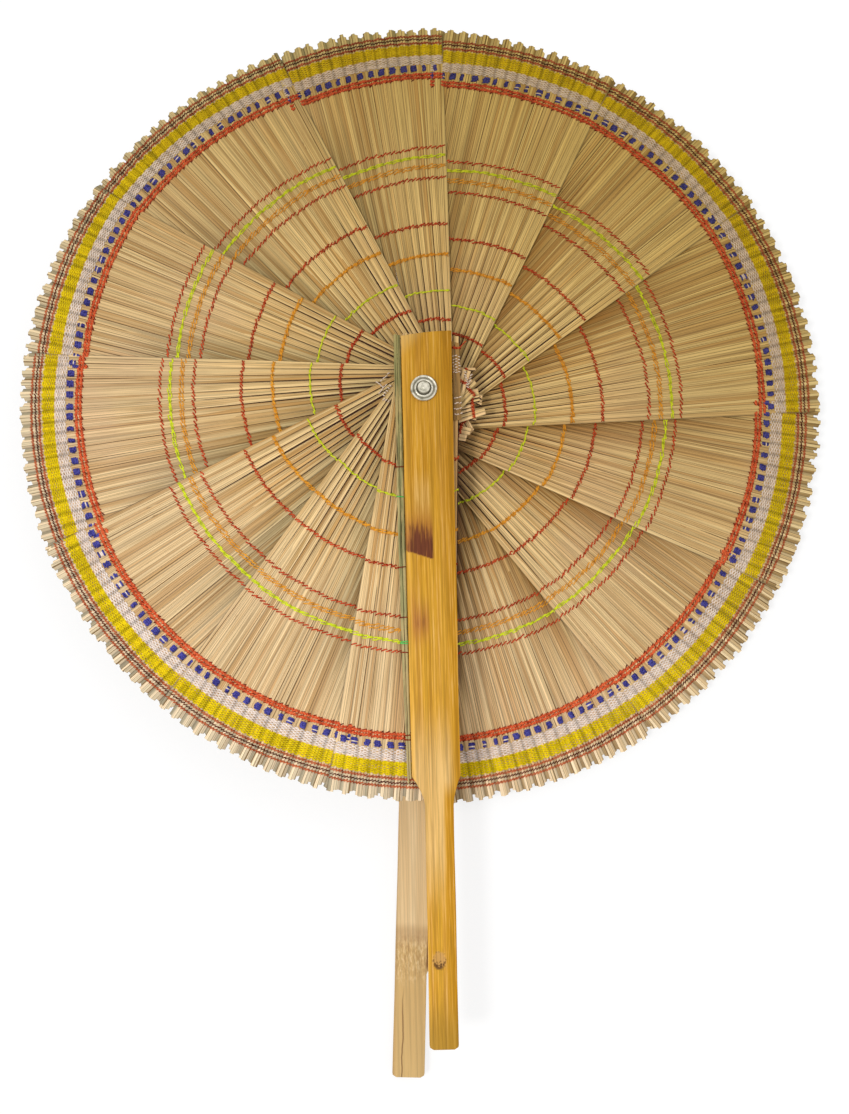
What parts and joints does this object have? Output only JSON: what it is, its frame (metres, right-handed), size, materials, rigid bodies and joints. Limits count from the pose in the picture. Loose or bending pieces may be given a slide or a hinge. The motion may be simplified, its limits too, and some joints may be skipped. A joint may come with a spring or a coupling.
{
  "type": "folding hand fan",
  "caption": "Round folding hand fan: a pleated leaf of woven bamboo splints between a front and a back bamboo slat, turning on a rivet, with a handle on each slat.",
  "frame": {"origin": "the rivet's axis at the level of its flat tail, on which the fan rests", "axes": "+Z out of the front of the open fan, along the rivet; -Y along the front slat towards its handle; +X to the right as the front is seen with the handles down"},
  "size_m": [0.4, 0.5255, 0.0411],
  "materials": {
    "bamboo_skin": "smooth honey-yellow bamboo skin, lightly polished",
    "bamboo_inner": "split inner bamboo, pale and matt",
    "painted_bamboo": "bamboo stick with worn green paint",
    "bamboo_splint": "thin split bamboo splints, matt",
    "yellow_cotton": "yellow cotton thread woven over and under the splints, with brown edge rows",
    "white_cotton": "off-white cotton thread woven over and under the splints, with blue dashes and red edge rows",
    "rivet_steel": "bright zinc-plated steel, slightly worn"
  },
  "bodies": {
    "front_slat": {"front_guard": "bamboo_skin", "leaf_start_stick": "painted_bamboo", "rivet_pin": "rivet_steel", "front_washer": "rivet_steel"},
    "back_slat": {"back_guard": "bamboo_inner", "leaf_end_stick": "bamboo_inner"},
    "leaf_01": {"leaf_section_01": "bamboo_splint", "yellow_weave_01": "yellow_cotton", "white_weave_01": "white_cotton"},
    "leaf_02": {"leaf_section_02": "bamboo_splint", "yellow_weave_02": "yellow_cotton", "white_weave_02": "white_cotton"},
    "leaf_03": {"leaf_section_03": "bamboo_splint", "yellow_weave_03": "yellow_cotton", "white_weave_03": "white_cotton"},
    "leaf_04": {"leaf_section_04": "bamboo_splint", "yellow_weave_04": "yellow_cotton", "white_weave_04": "white_cotton"},
    "leaf_05": {"leaf_section_05": "bamboo_splint", "yellow_weave_05": "yellow_cotton", "white_weave_05": "white_cotton"},
    "leaf_06": {"leaf_section_06": "bamboo_splint", "yellow_weave_06": "yellow_cotton", "white_weave_06": "white_cotton"},
    "leaf_07": {"leaf_section_07": "bamboo_splint", "yellow_weave_07": "yellow_cotton", "white_weave_07": "white_cotton"},
    "leaf_08": {"leaf_section_08": "bamboo_splint", "yellow_weave_08": "yellow_cotton", "white_weave_08": "white_cotton"},
    "leaf_09": {"leaf_section_09": "bamboo_splint", "yellow_weave_09": "yellow_cotton", "white_weave_09": "white_cotton"},
    "leaf_10": {"leaf_section_10": "bamboo_splint", "yellow_weave_10": "yellow_cotton", "white_weave_10": "white_cotton"},
    "leaf_11": {"leaf_section_11": "bamboo_splint", "yellow_weave_11": "yellow_cotton", "white_weave_11": "white_cotton"},
    "leaf_12": {"leaf_section_12": "bamboo_splint", "yellow_weave_12": "yellow_cotton", "white_weave_12": "white_cotton"},
    "leaf_13": {"leaf_section_13": "bamboo_splint", "yellow_weave_13": "yellow_cotton", "white_weave_13": "white_cotton"}
  },
  "joints": [
    {"name": "fan_fold", "type": "hinge", "parent": "front_slat", "child": "back_slat", "pos_m": [0, 0, 0], "axis": [0, 0, 1], "range_deg": [0, 362.6]},
    {"name": "leaf_01_fold", "type": "hinge", "parent": "front_slat", "child": "leaf_01", "pos_m": [0, 0, 0], "axis": [0, 0, 1], "range_deg": [0, 6.01]},
    {"name": "leaf_02_fold", "type": "hinge", "parent": "front_slat", "child": "leaf_02", "pos_m": [0, 0, 0], "axis": [0, 0, 1], "range_deg": [0, 27.01]},
    {"name": "leaf_03_fold", "type": "hinge", "parent": "front_slat", "child": "leaf_03", "pos_m": [0, 0, 0], "axis": [0, 0, 1], "range_deg": [0, 54.01]},
    {"name": "leaf_04_fold", "type": "hinge", "parent": "front_slat", "child": "leaf_04", "pos_m": [0, 0, 0], "axis": [0, 0, 1], "range_deg": [0, 82.51]},
    {"name": "leaf_05_fold", "type": "hinge", "parent": "front_slat", "child": "leaf_05", "pos_m": [0, 0, 0], "axis": [0, 0, 1], "range_deg": [0, 110.76]},
    {"name": "leaf_06_fold", "type": "hinge", "parent": "front_slat", "child": "leaf_06", "pos_m": [0, 0, 0], "axis": [0, 0, 1], "range_deg": [0, 141.51]},
    {"name": "leaf_07_fold", "type": "hinge", "parent": "front_slat", "child": "leaf_07", "pos_m": [0, 0, 0], "axis": [0, 0, 1], "range_deg": [0, 171.01]},
    {"name": "leaf_08_fold", "type": "hinge", "parent": "front_slat", "child": "leaf_08", "pos_m": [0, 0, 0], "axis": [0, 0, 1], "range_deg": [0, 197.01]},
    {"name": "leaf_09_fold", "type": "hinge", "parent": "front_slat", "child": "leaf_09", "pos_m": [0, 0, 0], "axis": [0, 0, 1], "range_deg": [0, 224.51]},
    {"name": "leaf_10_fold", "type": "hinge", "parent": "front_slat", "child": "leaf_10", "pos_m": [0, 0, 0], "axis": [0, 0, 1], "range_deg": [0, 255.26]},
    {"name": "leaf_11_fold", "type": "hinge", "parent": "front_slat", "child": "leaf_11", "pos_m": [0, 0, 0], "axis": [0, 0, 1], "range_deg": [0, 285.51]},
    {"name": "leaf_12_fold", "type": "hinge", "parent": "front_slat", "child": "leaf_12", "pos_m": [0, 0, 0], "axis": [0, 0, 1], "range_deg": [0, 312.76]},
    {"name": "leaf_13_fold", "type": "hinge", "parent": "front_slat", "child": "leaf_13", "pos_m": [0, 0, 0], "axis": [0, 0, 1], "range_deg": [0, 343.76]}
  ],
  "couplings": [
    {"joint": "leaf_01_fold", "follows": "fan_fold", "ratio": 0.016547},
    {"joint": "leaf_02_fold", "follows": "fan_fold", "ratio": 0.074462},
    {"joint": "leaf_03_fold", "follows": "fan_fold", "ratio": 0.14892},
    {"joint": "leaf_04_fold", "follows": "fan_fold", "ratio": 0.22752},
    {"joint": "leaf_05_fold", "follows": "fan_fold", "ratio": 0.30543},
    {"joint": "leaf_06_fold", "follows": "fan_fold", "ratio": 0.39024},
    {"joint": "leaf_07_fold", "follows": "fan_fold", "ratio": 0.47159},
    {"joint": "leaf_08_fold", "follows": "fan_fold", "ratio": 0.5433},
    {"joint": "leaf_09_fold", "follows": "fan_fold", "ratio": 0.61914},
    {"joint": "leaf_10_fold", "follows": "fan_fold", "ratio": 0.70394},
    {"joint": "leaf_11_fold", "follows": "fan_fold", "ratio": 0.78737},
    {"joint": "leaf_12_fold", "follows": "fan_fold", "ratio": 0.86252},
    {"joint": "leaf_13_fold", "follows": "fan_fold", "ratio": 0.94801}
  ]
}
